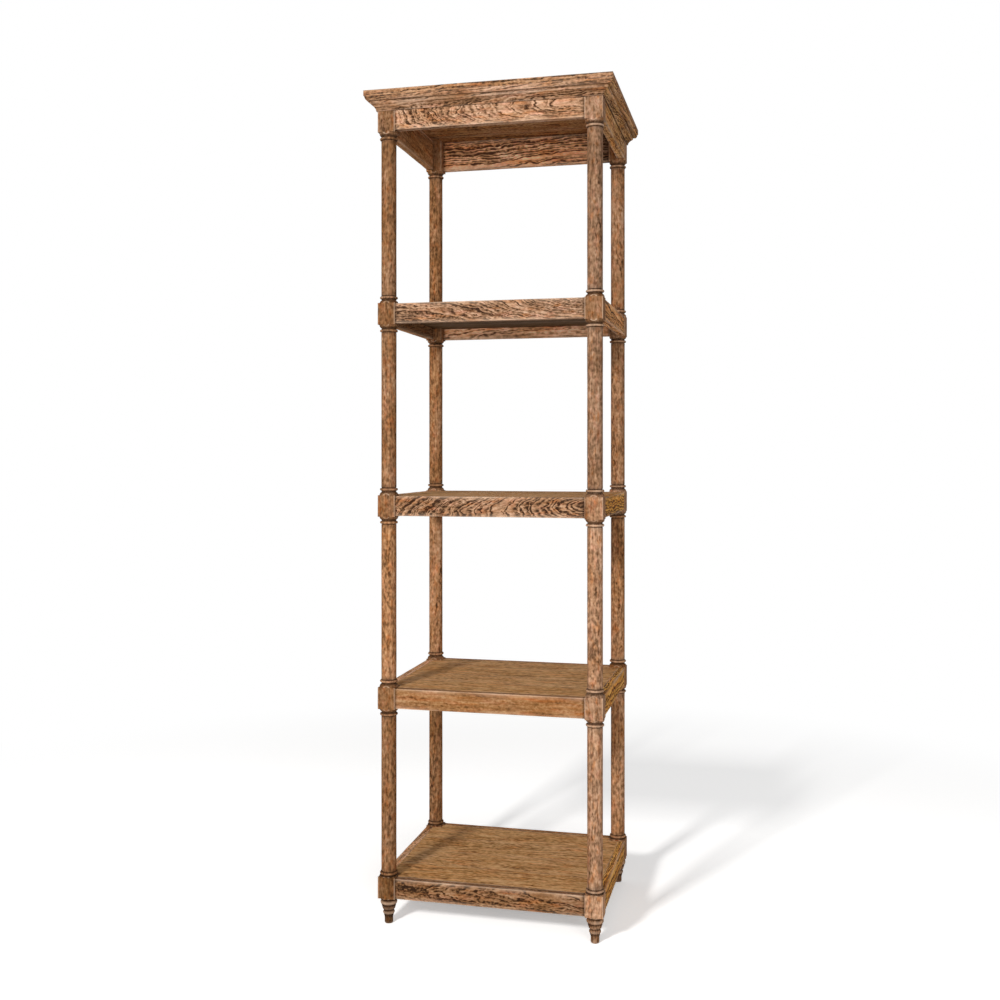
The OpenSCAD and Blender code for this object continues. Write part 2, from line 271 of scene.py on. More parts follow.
def turned(profile, centre, wobble=0.0, seed=0):
    """Points and faces of a profile of (radius, height, glaze, rub) swept round a centre."""
    angles = np.linspace(0, 2 * math.pi, TURNS, endpoint=False)
    radii, heights, glaze, rub = np.array(profile).T
    uneven = wobble * drift(heights, UNEVEN_WAVE, seed)
    oval = drift(heights, OVAL_WAVE, seed + 1)
    spin = wobble * np.sin(2 * angles + seed)[None, :] * oval[:, None]
    points, faces = around(centre, angles, radii[:, None] + uneven[:, None] + spin, heights)
    return points, faces, np.repeat(glaze, TURNS), np.repeat(rub, TURNS)


def bead_profile(radius, bulge, low, high, least_glaze=0.0):
    """A round bead between two heights, glazed at its roots and rubbed on its crest."""
    half = (high - low) / 2
    rows = []
    for a in np.linspace(-math.pi / 2, math.pi / 2, BEAD_STEPS + 1):
        crest = math.cos(a)
        glaze = max(min(1.0, BEAD_GLAZE * (1 - crest)), least_glaze)
        rows.append((radius + bulge * crest, low + half + half * math.sin(a), glaze,
                     max(0.0, crest) ** CREST_RUB))
    return rows


print(len(bead_profile(1.0, 0.1, 0.0, 1.0)), "rows in a bead")

# %% Column profile
SHAFT_R = 0.019
SHAFT_ROWS = 44
BEAD_R = 0.0225
BEAD_H = 0.007
GROOVE_R = 0.0178
GROOVE_H = 0.0016
END_SHADE = 0.012
EDGE = 0.0003


def column_profile(low, high):
    """Bead, groove, shaft, groove and bead between two heights."""
    length = high - low
    groove_end = BEAD_H + GROOVE_H
    end = [(SHAFT_R - EDGE, 0.0, 1.0, 0.0)]
    end += bead_profile(SHAFT_R, BEAD_R - SHAFT_R, EDGE, BEAD_H)
    end += [
        (GROOVE_R, BEAD_H + EDGE, 1.0, 0.0), (GROOVE_R, groove_end - EDGE, 1.0, 0.0),
        (SHAFT_R - EDGE, groove_end, 0.7, 0.2), (SHAFT_R, groove_end + EDGE, 0.45, 0.3),
        (SHAFT_R, BEAD_H + END_SHADE, 0.0, 0.0),
    ]
    shaft = np.linspace(end[-1][1], length - end[-1][1], SHAFT_ROWS + 2)[1:-1]
    whole = end + [(SHAFT_R, h, 0.0, 0.0) for h in shaft]
    whole += [(r, length - h, g, b) for r, h, g, b in end[::-1]]
    return [(r, low + h, g, b) for r, h, g, b in whole]


print(len(column_profile(0.0, 1.0)), "rows in a column's profile")

# %% [markdown]
# Each column is cut from its own log, so each has its own heart, somewhere outside the wood,
# and its own stain. In the photograph the right front post is the palest, and the second tier
# is paler than the two above it. Each stain is (tone, warmth, strength of the figure).

# %% Make the columns
POST_STAIN = dict(front_left=(0.92, 0.55, 0.40), front_right=(1.00, 0.00, 0.35),
                  back_left=(0.86, 0.65, 0.50), back_right=(0.95, 0.40, 0.45))
TIER_TONE = dict(front_left=(0.80, 1.12, 0.83, 0.76), front_right=(1.10, 1.15, 0.83, 0.77),
                 back_left=(0.95, 1.25, 1.05, 0.94), back_right=(1.24, 1.10, 0.98, 0.91))
POST_RUB = dict(front_left=0.2, front_right=0.9, back_left=0.3, back_right=0.6)
COLUMN_WOBBLE = 0.00012
COLUMN_HEARTS = ((-0.02, 0.02), (-0.07, -0.035))
COLUMN_TIPS = ((-0.03, 0.03), (-0.06, 0.06))
WARMTH_SPREAD = (0.8, 1.2)

columns = []
for post, centre in posts.items():
    for level in LEVELS:
        profile = column_profile(block_high[level - 1], block_low[level])
        points, faces, glaze, rub = turned(profile, centre, COLUMN_WOBBLE, new_seed())
        log = upright_log(points, COLUMN_HEARTS, COLUMN_TIPS)
        change = [TIER_TONE[post][level - 1], luck.uniform(*WARMTH_SPREAD), 1.0]
        stain = np.array(POST_STAIN[post]) * change
        name = f"column_{post}_{level}"
        made = part(points, faces, log, glaze, rub * POST_RUB[post], stain)
        columns.append(make_piece("turned_" + name, [made], [name]))
print(len(columns), "columns,", face_count(columns), "faces")

# %% [markdown]
# ## Turned feet
# Each foot is a small turning of its own: a neck, a large ring, a taper, a waist, a small ring
# and a tip that narrows to the floor. It is made as the columns are, from a profile. The foot
# at the front left is darker than the rest.

# %% Feet
FOOT_TOP = 0.062
TIP_R, TIP_H = 0.0105, 0.015
FLARE_R, FLARE_H = 0.0019, 0.0073
FOOT_END = [(0.0075, 0.0, 0.6, 0.0), (0.0090, 0.0004, 0.6, 0.3), (0.0101, 0.0015, 0.5, 0.6),
            (TIP_R, 0.0030, 0.4, 0.5)]
SMALL_RING = (0.0098, 0.0049, 0.0226, 0.0334)
WAIST = [(0.0124, 0.0337, 1.0, 0.0), (0.0124, 0.0362, 1.0, 0.0)]
TAPER = [(0.0153, 0.0366, 0.7, 0.3), (0.0156, 0.0370, 0.4, 0.5), (0.0170, 0.0420, 0.1, 0.2),
         (0.0184, 0.0472, 0.8, 0.0)]
LARGE_RING = (0.0150, 0.0062, 0.0476, 0.0603)
FOOT_NECK = [(0.0169, 0.0605, 1.0, 0.0), (0.0169, FOOT_TOP, 1.0, 0.0)]
FOOT_HEARTS = ((-0.01, 0.01), (-0.05, -0.03))
FOOT_STAIN, DARK_FOOT = (0.95, 0.3, 0.8), (0.35, 0.9, 0.8)


def foot_profile():
    """The foot from the floor up to its block, as (radius, height, glaze, rub)."""
    tip = [(TIP_R, h, 0.3, 0.0) for h in (0.006, 0.009, 0.012, 0.015)]
    flare = [(TIP_R + FLARE_R * t, TIP_H + FLARE_H * t, 0.4 + 0.6 * t, 0.0)
             for t in (0.35, 0.7, 1.0)]
    small, large = bead_profile(*SMALL_RING, 0.2), bead_profile(*LARGE_RING, 0.1)
    return [*FOOT_END, *tip, *flare, *small, *WAIST, *TAPER, *large, *FOOT_NECK]


feet = []
for post, centre in posts.items():
    points, faces, glaze, rub = turned(foot_profile(), centre)
    log = log_places(points, UP, (1, 0, 0), by_chance(*FOOT_HEARTS), start=new_start())
    stain = DARK_FOOT if post == "front_left" else FOOT_STAIN
    name = f"foot_{post}"
    made = part(points, faces, log, glaze, rub, stain)
    feet.append(make_piece("turned_" + name, [made], [name]))
print(len(feet), "feet,", face_count(feet), "faces")

# %% [markdown]
# ## Corner blocks
# A block starts as a square billet. Its ends are turned on the lathe, which cuts the corners
# away to a circle and leaves the flats standing, so the square runs into the round with four
# small ledges. The easiest way to draw that is to ask, at each height and in each direction,
# how far out the wood reaches: the lesser of the square's reach and the turned circle's. The
# square's arrises are worn by hands to a small round that wanders along the edge.

# %% How far a block reaches
CURVE_R = 0.008
CORE_R = 0.0155
NECK_R = 0.0185
NECK_H = 0.0025
LEDGE = 0.0005
SHOULDER_STEP = 0.0008
SHOULDER_GLAZE, GLAZE_CURVE = 0.15, 1.5
BLOCK_ARRIS = 0.0013
EIGHTH = (0, 3, 6, 9, 12, 14, 16, 18, 20, 23, 26, 29, 32, 35, 38, 40.5, 42.2, 43.2, 44)


def block_angles():
    """Directions round a block, packed close where its arrises are."""
    quarter = [*EIGHTH, 45, *(90 - a for a in EIGHTH[:0:-1])]
    return np.radians([q * 90 + a for q in range(4) for a in quarter])


def square_reach(angles, half, arris):
    """How far a square with rounded arrises reaches in each direction."""
    across, up = np.abs(np.cos(angles)), np.abs(np.sin(angles))
    flat = half / np.maximum(across, up)
    middle = half - arris
    on = middle * (across + up)
    corner = on + np.sqrt(np.maximum(arris ** 2 - 2 * middle ** 2 + on ** 2, 0))
    return np.where(np.minimum(across, up) * flat > middle, corner, flat)


def shoulder_rows(height):
    """Rows of (turned radius, distance from the square, glaze) for one shoulder."""
    curve = height - NECK_H
    rows = []
    for d in np.linspace(0, curve, max(3, round(curve / SHOULDER_STEP))):
        radius = max(NECK_R, CORE_R + math.sqrt(CURVE_R ** 2 - d ** 2))
        glaze = SHOULDER_GLAZE + (1 - SHOULDER_GLAZE) * (d / curve) ** GLAZE_CURVE
        rows.append((radius, d, glaze))
    return rows + [(NECK_R, curve + EDGE, 1.0), (NECK_R, height, 1.0)]


print(len(block_angles()), "directions round a block")

# %% One block
BLOCK_STEP = 0.005
BLOCK_WANDER, BLOCK_WAVE = 0.0007, 0.05
RUB_DEGREES = 4.5
MEETING, MEETING_RUB = 0.0005, 0.8
FLAT_GLAZE = 0.5


def block_rows(low, square_low, square_high, high):
    """Rows of (turned radius or None, height, glaze) from one end of a block to the other."""
    rows = []
    if square_low > low:
        rows += [(r, square_low - d, g) for r, d, g in shoulder_rows(square_low - low)[::-1]]
    count = max(6, round((square_high - square_low) / BLOCK_STEP))
    rows += [(None, h, 0.0) for h in np.linspace(square_low + LEDGE, square_high - LEDGE, count)]
    if high > square_high:
        rows += [(r, square_high + d, g) for r, d, g in shoulder_rows(high - square_high)]
    return rows


def block(centre, low, square_low, square_high, high, seed):
    """A square block with a turned shoulder wherever it goes past its square."""
    angles = block_angles()
    rows = block_rows(low, square_low, square_high, high)
    heights = np.array([r[1] for r in rows])
    reach = np.empty((len(rows), len(angles)))
    rub, glaze = np.zeros_like(reach), np.zeros_like(reach)
    for k in range(4):
        arris = BLOCK_ARRIS + BLOCK_WANDER * drift(heights, BLOCK_WAVE, seed + k)
        quadrant = (angles // (math.pi / 2)).astype(int) == k
        near = np.abs(np.degrees(angles[quadrant]) % 90 - 45)
        for r, (radius, _, dirt) in enumerate(rows):
            square = square_reach(angles[quadrant], BLOCK / 2, arris[r])
            if radius is None:
                reach[r, quadrant] = square
                rub[r, quadrant] = np.clip(1 - near / RUB_DEGREES, 0, 1)
            else:
                reach[r, quadrant] = np.minimum(square, radius)
                rub[r, quadrant] = MEETING_RUB * (np.abs(square - radius) < MEETING)
                glaze[r, quadrant] = np.where(square > radius, dirt, FLAT_GLAZE * dirt)
    return (*around(centre, angles, reach, heights), glaze.ravel(), rub.ravel())


print(len(block_rows(0.0, 0.01, 0.09, 0.1)), "rows in a block 100 mm high")

# %% [markdown]
# The lowest blocks stand on the feet and are hardly turned at either end, and the highest run
# up square to the top board. Each block has a tone and a warmth of its own, listed from the
# floor up.

# %% Make the blocks
FOOT_SHOULDER, SHOULDER = 0.004, 0.0105
SHOULDERS = [(FOOT_SHOULDER, FOOT_SHOULDER), *[(SHOULDER, SHOULDER)] * 3, (SHOULDER, 0.0)]
BLOCK_TONE = dict(
    front_left=(0.47, 0.64, 0.69, 0.60, 0.60), front_right=(1.30, 1.03, 0.97, 0.65, 0.84),
    back_left=(0.80, 0.85, 0.85, 0.85, 0.86), back_right=(1.00, 0.82, 1.10, 1.12, 0.95))
BLOCK_WARMTH = dict(
    front_left=(1.10, 0.80, 0.55, 0.65, 0.50), front_right=(-0.10, 0.00, 0.15, 0.65, 0.05),
    back_left=(0.65,) * 5, back_right=(0.40, 1.20, 0.00, 0.05, 0.40))
BLOCK_HEARTS = ((-0.02, 0.02), (-0.07, -0.04))
BLOCK_TIPS = ((-0.05, 0.05), (-0.1, 0.1))

blocks = []
for n, (node_name, low, high) in enumerate(zip(block_nodes, block_low, block_high)):
    under, over = SHOULDERS[n]
    parts = []
    for post, centre in posts.items():
        points, faces, glaze, rub = block(centre, low, low + under, high - over, high, new_seed())
        log = upright_log(points, BLOCK_HEARTS, BLOCK_TIPS)
        stain = (BLOCK_TONE[post][n], BLOCK_WARMTH[post][n], POST_STAIN[post][2])
        parts.append(part(points, faces, log, glaze, rub, stain))
    name = node_name.replace("corner", "square")
    blocks.append(make_piece(name, parts, [node_name]))
print(len(blocks), "sets of blocks,", face_count(blocks), "faces")

# %% [markdown]
# ## Bars of timber
# Rails, boards and the top are all straight timber with four long edges. A real plank is never
# quite a box: its edges are eased with sandpaper and then wear unevenly, and its faces dip a
# fraction of a millimetre. So a bar is drawn as a row of sections along its length, each a
# rectangle with four rounded corners whose radii wander from section to section.

# %% Section of a bar
NEAR_EDGE = 0.003
NEAR_RUB = 0.35
ARC_STEPS = 3


def bar_section(low, high, radii, fills):
    """Points round a rectangle with rounded corners, and how much each is rubbed."""
    corners = [(low[0], low[1]), (high[0], low[1]), (high[0], high[1]), (low[0], high[1])]
    inwards = [(1, 1), (-1, 1), (-1, -1), (1, -1)]
    points, rub = [], []
    for k in range(4):
        (ca, cb), (ia, ib), r = corners[k], inwards[k], radii[k]
        start = math.pi + k * math.pi / 2
        for a in np.linspace(start, start + math.pi / 2, ARC_STEPS + 1):
            points.append((ca + ia * r + r * math.cos(a), cb + ib * r + r * math.sin(a)))
            rub.append(1.0)
        na, nb = corners[(k + 1) % 4]
        step = NEAR_EDGE / math.hypot(na - ca, nb - cb)
        for t in [step, *np.linspace(step, 1 - step, fills[k] + 2)[1:-1], 1 - step]:
            points.append((ca + (na - ca) * t, cb + (nb - cb) * t))
            rub.append(NEAR_RUB if t in (step, 1 - step) else 0.0)
    return points, rub


print(len(bar_section((0.0, 0.0), (1.0, 1.0), [0.1] * 4, (1, 1, 1, 1))[0]), "points round a bar")

# %% A bar from its sections
LEAST_ARRIS = 0.00012
WEAR_SWING, WEAR_WAVE = 0.45, 0.13
DENT_DEPTH, DENT_WAVE, DENT_FROM = 0.9, 0.071, 0.62
DIP, DIP_WAVE = 0.00015, 0.37
DENT_SEED, DIP_SEED = 9, 20
END_EASE = 0.0005


def worn_arris(places, arris, seed):
    """An arris's radius at each place: it swings slowly and is knocked wider here and there."""
    dents = np.clip(drift(places, DENT_WAVE, seed + DENT_SEED) - DENT_FROM, 0, 1)
    return arris * (1 + WEAR_SWING * drift(places, WEAR_WAVE, seed) + DENT_DEPTH * dents)


def bar(places, low, high, arrises, seed, fills, dip=DIP):
    """A bar along its first axis. low and high give the section's corners at each place."""
    wander = [worn_arris(places, arris, seed + k) for k, arris in enumerate(arrises)]
    hollow = dip * (1 + drift(places, DIP_WAVE, seed + DIP_SEED)) / 2
    rows, rub = [], []
    for n, place in enumerate(places):
        ease = END_EASE if n in (0, len(places) - 1) else 0.0
        inset = hollow[n] + ease
        a = (low[n][0] + inset, low[n][1] + inset)
        b = (high[n][0] - inset, high[n][1] - inset)
        section, rubbed = bar_section(a, b, [max(LEAST_ARRIS, w[n]) for w in wander], fills)
        rows.append([(place, p, q) for p, q in section])
        rub.append(rubbed)
    points, faces = tube(np.array(rows))
    return points, faces, np.array(rub).ravel()


def run_of_places(start, stop, step, ease=END_EASE):
    """Places along a bar, with an extra one just inside each end for its eased corner."""
    inner = np.linspace(start + ease, stop - ease, max(3, round((stop - start) / step)))
    return np.array([start, *inner, stop])


def laid(points, side_of):
    """Points drawn along X turned to a side of the unit, and the ways along and out of it."""
    if side_of in ENDS:
        return points, (1, 0, 0), (0, ENDS[side_of], 0)
    return points[:, [1, 0, 2]], (0, 1, 0), (SIDES[side_of], 0, 0)


print(len(run_of_places(0.0, 1.0, 0.01)), "sections in a metre of bar")

# %% [markdown]
# ## Rails
# The rails give the unit its look. The camera sees their flat-sawn faces, where the rings come
# out as bold arches on the frieze, long waves on the upper rails and quiet straight lines on
# the rail of the second shelf. Each of those is a matter of where the heart of the log lay and
# how far the trunk was tipped when the rail was sawn, so the rails that show best get their
# own values. Glaze has gathered where a rail meets its blocks, which draws a thin dark line.

# %% Rails and their logs
RAIL_CUTS = {
    "rail_front_1": ((0.71, 0.55, 1.7), dict(heart=(0.020, -0.060), tip=(0.05, 0.08), bow=0.10)),
    "rail_front_2": ((0.69, 0.90, 0.25), dict(heart=(0.030, -0.120), tip=(0.01, 0.02))),
    "rail_front_3": ((0.87, 0.15, 1.8), dict(heart=(-0.016, -0.055), tip=(0.09, 0.24), bow=-0.10)),
    "rail_front_4": ((0.91, 0.00, 1.8), dict(heart=(0.036, -0.055), tip=(-0.02, 0.16), bow=0.34)),
    # The back rails' tones, about twice the rest, are painted light for the bounce light on their
    # inner faces.
    "rail_back_4": ((2.08, 0.05, 0.9), dict(heart=(0.060, -0.070), tip=(0.03, 0.06), growth=1.8)),
    "frieze_rail_front": ((1.04, 0.10, 1.2),
                          dict(heart=(0.004, -0.055), tip=(0.02, 0.21), bow=-0.38)),
    "frieze_rail_back": ((2.28, 0.40, 2.6),
                         dict(heart=(0.075, -0.075), tip=(0.03, 0.06), growth=1.5)),
    "frieze_rail_left": ((0.95, 0.90, 0.45), dict(heart=(0.02, -0.09), tip=(0.02, 0.03))),
    # The right frieze's higher tone is painted light that lifts the shade on its right face.
    "frieze_rail_right": ((1.32, 0.62, 1.3), dict(heart=(0.060, -0.090), growth=1.5)),
}
# The right rails' higher tone is painted light that lifts the shade on their right faces.
RIGHT_CUT = ((1.52, 1.3, 2.1), dict(heart=(0.060, -0.070), tip=(0.02, 0.04), growth=1.5))
RAIL_HEARTS = ((-0.03, 0.03), (-0.09, -0.05))
RAIL_TIPS = ((-0.06, 0.06), (-0.12, 0.12))
RAIL_STAINS = ((1.00, 1.15), (0.9, 1.3), (0.9, 1.2))


def rail_cut(name, side_of):
    """A rail's stain, with painted light in the tones of the back and right rails, and the place
    it has in its log, by chance for the rails that hide.
    """
    if name in RAIL_CUTS:
        return RAIL_CUTS[name]
    if side_of == "right":
        return RIGHT_CUT
    place = dict(heart=by_chance(*RAIL_HEARTS), tip=by_chance(*RAIL_TIPS))
    return by_chance(*RAIL_STAINS), place


print(len(RAIL_CUTS), "rails with a log of their own")

# %% [markdown]
# Some faces are painted apart from the rest of their rail. The back rails' tones above are
# painted light for the bounce light on their inner faces, so the outside of a back rail is
# kept plainer. The back frieze gets painted shade towards the corner that the top shades, the
# top edges of the left rails are painted paler as painted light from above, and painted shade
# keeps the inside of one left rail dark.

# %% Painted light and shade on single faces
RAIL_ARRIS = 0.0013
CLOSE_ARRIS = RAIL_ARRIS / 8
OUTSIDE_TONE = 1.05
CORNER_SHADE = 0.22
CORNER_FROM, CORNER_TO = 0.165, 0.225
LIT_TOP_EDGE = (1.6, 0.3, 1.0)
SHADE_TONE = 0.45


def paint_light_and_shade(stain, points, name, side_of, low, high):
    """Paints light and shade into a rail's stain on the faces that differ from the rest of it."""
    # The outside of a back rail is held to a plain tone, so its painted light stays inside.
    if side_of == "back":
        outside = points[:, 1] > (low.y + high.y) / 2
        stain[outside, 0] = np.minimum(stain[outside, 0], OUTSIDE_TONE)
    # Painted shade darkens the back frieze towards its right corner.
    if name == "frieze_rail_back":
        near = np.clip((points[:, 0] - CORNER_FROM) / (CORNER_TO - CORNER_FROM), 0, 1)
        stain[:, 0] *= 1 - (1 - CORNER_SHADE) * near
    # Painted light from above makes the top edges of the left rails paler.
    if side_of == "left":
        stain[points[:, 2] > high.z - RAIL_ARRIS] *= LIT_TOP_EDGE
    # Painted shade keeps the inside of rail_left_4 dark.
    if name == "rail_left_4":
        stain[points[:, 0] > (low.x + high.x) / 2, 0] *= SHADE_TONE


print("the shaded corner starts", CORNER_FROM, "m to the right of the middle")

# %% Make the rails
RAIL_STEP = 0.007
JOINT_SHADE = 0.006
TALL_RAIL = 0.06
LOW_FILLS, TALL_FILLS = (1, 5, 1, 5), (1, 8, 1, 8)


def rail_piece(name, side_of):
    """One rail, seen face outwards, from the box of its solid without its tenons."""
    low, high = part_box(name)
    reach, a, b = (inner_x, low.y, high.y) if side_of in ENDS else (inner_y, low.x, high.x)
    places = run_of_places(-reach, reach, RAIL_STEP)
    lows, highs = [(a, low.z)] * len(places), [(b, high.z)] * len(places)
    fills = LOW_FILLS if high.z - low.z < TALL_RAIL else TALL_FILLS
    worn, close = RAIL_ARRIS, CLOSE_ARRIS
    outside_low = side_of in ("front", "left")
    arrises = (worn, close, close, worn) if outside_low else (close, worn, worn, close)
    points, faces, rub = bar(places, lows, highs, arrises, new_seed(), fills)
    glaze = np.clip(1 - (reach - np.abs(points[:, 0])) / JOINT_SHADE, 0, 1)
    points, along, out = laid(points, side_of)
    stain, place = rail_cut(name, side_of)
    log = log_places(points, along, out, start=new_start(), **place)
    made = part(points, faces, log, glaze, rub, stain)
    paint_light_and_shade(made["stain"], points, name, side_of, low, high)
    return make_piece("oak_" + name, [made], [name])


rails = [rail_piece(f"rail_{side}_{level}", side) for level in LEVELS for side in ALL_SIDES]
rails += [rail_piece(f"frieze_rail_{side}", side) for side in ALL_SIDES]
print(len(rails), "rails,", face_count(rails), "faces")

# %% [markdown]
# ## Shelf boards and the top
# A board as deep as these is glued up from several staves, because a single plank that wide
# would cup. Each stave has its own log, so the figure changes at every glue line while the
# surface stays flat. The front and back staves are notched round the square blocks. The
# underside of a shelf is painted far darker and warmer than its top, as painted shade, and
# that of the top board is painted warmer but nearly as pale.

# %% One stave of a board
BOARD_STEP = 0.010
BOARD_FILLS = (6, 1, 6, 1)
BOARD_DIP = 0.00008
BOARD_RUB = 0.3
GLUE_LINE = 0.00004
BELOW = 0.001
UNDER_SHADE_WARMTH = 2.0
STAVE_HEARTS = ((-0.05, 0.05), (-0.11, -0.06))
STAVE_TIPS = ((-0.03, 0.03), (-0.07, 0.07))


def stave(places, y_low, y_high, z_low, z_high, arris, stain, under):
    """One stave along X, whose y limits are given at each place, with painted shade underneath."""
    lows, highs = [(y, z_low) for y in y_low], [(y, z_high) for y in y_high]
    points, faces, rub = bar(places, lows, highs, [arris] * 4, new_seed(), BOARD_FILLS, BOARD_DIP)
    log = log_places(points, (1, 0, 0), UP, by_chance(*STAVE_HEARTS), by_chance(*STAVE_TIPS),
                     start=new_start())
    made = part(points, faces, log, np.zeros(len(points)), rub * BOARD_RUB, stain)
    # Painted shade: the underside is painted darker and warmer, hardly darker on the top board.
    made["stain"][points[:, 2] < z_low + BELOW] *= (under, UNDER_SHADE_WARMTH, 1.0)
    return made


def stave_limits(places, cuts, n):
    """The y limits of stave n at each place, a thin glue line apart from its neighbours."""
    return np.full(len(places), cuts[n] + GLUE_LINE), np.full(len(places), cuts[n + 1] - GLUE_LINE)


print(f"glue lines {2000 * GLUE_LINE:.2f} mm wide")

# %% Shelf boards
JOINT = 0.0001
STAVES = 4
BOARD_ARRIS = 0.00015
BOARD_STAINS = ((0.93, 1.0), (0.50, 0.75))
BOARD_FIGURE = 0.45
SHELF_UNDER_SHADE = 0.14
board_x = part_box("rail_right_1")[0].x - JOINT
board_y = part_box("rail_back_1")[0].y - JOINT
notch_x, notch_y = inner_x - JOINT, inner_y - JOINT


def shelf_board(level):
    name = f"shelf_board_{level}"
    low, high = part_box(name)
    beside_notch = [-notch_x, -notch_x - EDGE, notch_x, notch_x + EDGE]
    places = np.sort(np.concatenate([run_of_places(-board_x, board_x, BOARD_STEP), beside_notch]))
    notched = np.abs(places) > notch_x + EDGE / 2
    cuts = np.linspace(-board_y, board_y, STAVES + 1)
    parts = []
    for n in range(STAVES):
        y_low, y_high = stave_limits(places, cuts, n)
        y_low[notched] = np.maximum(y_low[notched], -notch_y)
        y_high[notched] = np.minimum(y_high[notched], notch_y)
        stain = (*by_chance(*BOARD_STAINS), BOARD_FIGURE)
        parts.append(stave(places, y_low, y_high, low.z, high.z, BOARD_ARRIS, stain, SHELF_UNDER_SHADE))
    return make_piece("oak_" + name, parts, [name])


boards = [shelf_board(level) for level in LEVELS]
print(len(boards), "boards of", STAVES, "staves, each", rounded((2 * board_x, 2 * board_y)))

# %% Top board
TOP_STAVES = 5
TOP_ARRIS = 0.0009
TOP_EASE = 0.001
TOP_STAINS = ((0.85, 0.92), (0.3, 0.6))
TOP_FIGURE = 1.1
TOP_UNDER_SHADE = 0.98

low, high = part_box("top_board")
places = run_of_places(low.x, high.x, BOARD_STEP, TOP_EASE)
cuts = np.linspace(low.y, high.y, TOP_STAVES + 1)
parts = []
for n in range(TOP_STAVES):
    stain = (*by_chance(*TOP_STAINS), TOP_FIGURE)
    parts.append(stave(places, *stave_limits(places, cuts, n), low.z, high.z, TOP_ARRIS, stain,
                       TOP_UNDER_SHADE))
top = make_piece("oak_top_board", parts, ["top_board"])
print("top board of", TOP_STAVES, "staves")

# %% [markdown]
# ## The cornice
# A cornice is a length of moulding run with a shaped plane, cut at forty-five degrees where
# two lengths meet. Its section is drawn once: a round ovolo under the board, a flat fillet, a
# hollow cove and a narrow bottom edge. Each point of the section keeps its distance from the
# blocks' faces, so a point that stands out further also runs further past the corner, and the
# mitres close by themselves.

# %% Section of the cornice
OVOLO_REACH, OVOLO_H, OVOLO_R, OVOLO_ROWS = 0.026, 0.010, 0.014, 7
FILLET_REACH, FILLET_H = 0.015, 0.006
COVE_H, COVE_R, COVE_ROWS = 0.014, 0.026, 7
LIP_REACH, LIP_H = 0.003, 0.003


def cornice_section():
    """Points of (reach, depth under the board, glaze, rub), from the top outer edge round."""
    section = []
    for d in np.linspace(0, OVOLO_H, OVOLO_ROWS):
        reach = OVOLO_REACH - OVOLO_R + math.sqrt(OVOLO_R ** 2 - d ** 2)
        section.append((reach, d, 0.1, 0.15 if 0 < d < OVOLO_H else 0.5))
    fillet_low = OVOLO_H + FILLET_H
    section += [
        (FILLET_REACH + EDGE, OVOLO_H + EDGE, 0.7, 0.0),
        (FILLET_REACH, OVOLO_H + 3 * EDGE, 0.5, 0.0),
        (FILLET_REACH, fillet_low - EDGE, 0.1, 0.7),
        (FILLET_REACH - EDGE, fillet_low, 0.2, 0.7),
    ]
    run = FILLET_REACH - LIP_REACH
    chord = math.hypot(run, COVE_H)
    away = math.sqrt(COVE_R ** 2 - chord ** 2 / 4)
    centre = (LIP_REACH + run / 2 + away * COVE_H / chord,
              fillet_low + COVE_H / 2 + away * run / chord)
    for d in np.linspace(fillet_low, fillet_low + COVE_H, COVE_ROWS + 1)[1:]:
        reach = centre[0] - math.sqrt(max(COVE_R ** 2 - (d - centre[1]) ** 2, 0))
        section.append((reach, d, 0.3, 0.0))
    low = fillet_low + COVE_H + LIP_H
    section += [(LIP_REACH, low - EDGE, 0.3, 0.5), (LIP_REACH - EDGE, low, 0.6, 0.3)]
    return section + [(0.0, low, 1.0, 0.0), (0.0, 0.0, 1.0, 0.0)]


print(len(cornice_section()), "points in the section, from", rounded(cornice_section()[0][:2]))

# %% Run the cornice round the top
CORNICE_PLACES = 75
FRONT_STAIN, SIDE_STAIN = (0.98, 0.20, 1.6), (1.36, 0.58, 1.8)
CORNICE_HEART, CORNICE_HEARTS = -0.05, (-0.02, 0.02)
CORNICE_TIP, CORNICE_TIPS = 0.02, (0.03, 0.08)
board_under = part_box("top_board")[0].z


def cornice_piece(side_of):
    """One length of moulding, mitred at both ends."""
    sign = ENDS.get(side_of) or SIDES[side_of]
    half, distance, stain = face_x, face_y, FRONT_STAIN
    if side_of in SIDES:
        half, distance, stain = face_y, face_x, SIDE_STAIN
    section = cornice_section()
    rows = [[(t * (half + reach), sign * (distance + reach), board_under - depth)
             for reach, depth, _, _ in section] for t in np.linspace(-1, 1, CORNICE_PLACES)]
    points, faces = tube(np.array(rows))
    points, along, out = laid(points, side_of)
    glaze, rub = (np.tile([p[k] for p in section], CORNICE_PLACES) for k in (2, 3))
    heart = (luck.uniform(*CORNICE_HEARTS), CORNICE_HEART)
    tip = (CORNICE_TIP, luck.uniform(*CORNICE_TIPS))
    log = log_places(points, along, out, heart, tip, start=new_start())
    made = part(points, faces, log, glaze, rub, stain)
    return make_piece(f"moulded_cornice_{side_of}", [made], [f"cornice_{side_of}"])


cornices = [cornice_piece(side) for side in ALL_SIDES]
print(len(cornices), "lengths of moulding,", face_count(cornices), "faces")

# %% [markdown]
# ## Oak in the shader
# The rings are drawn first. The distance from the log's heart, divided by the width of a year,
# counts the years, and its fraction says where in the year a point lies: spring wood is open
# and takes a lot of dark stain, summer wood is dense and stays pale. Two slow noises bend the
# rings, since no trunk is a true cone, and each year gets its own strength by chance. Pores
# are the second scale: short dark dashes along the grain, thick in the spring wood.

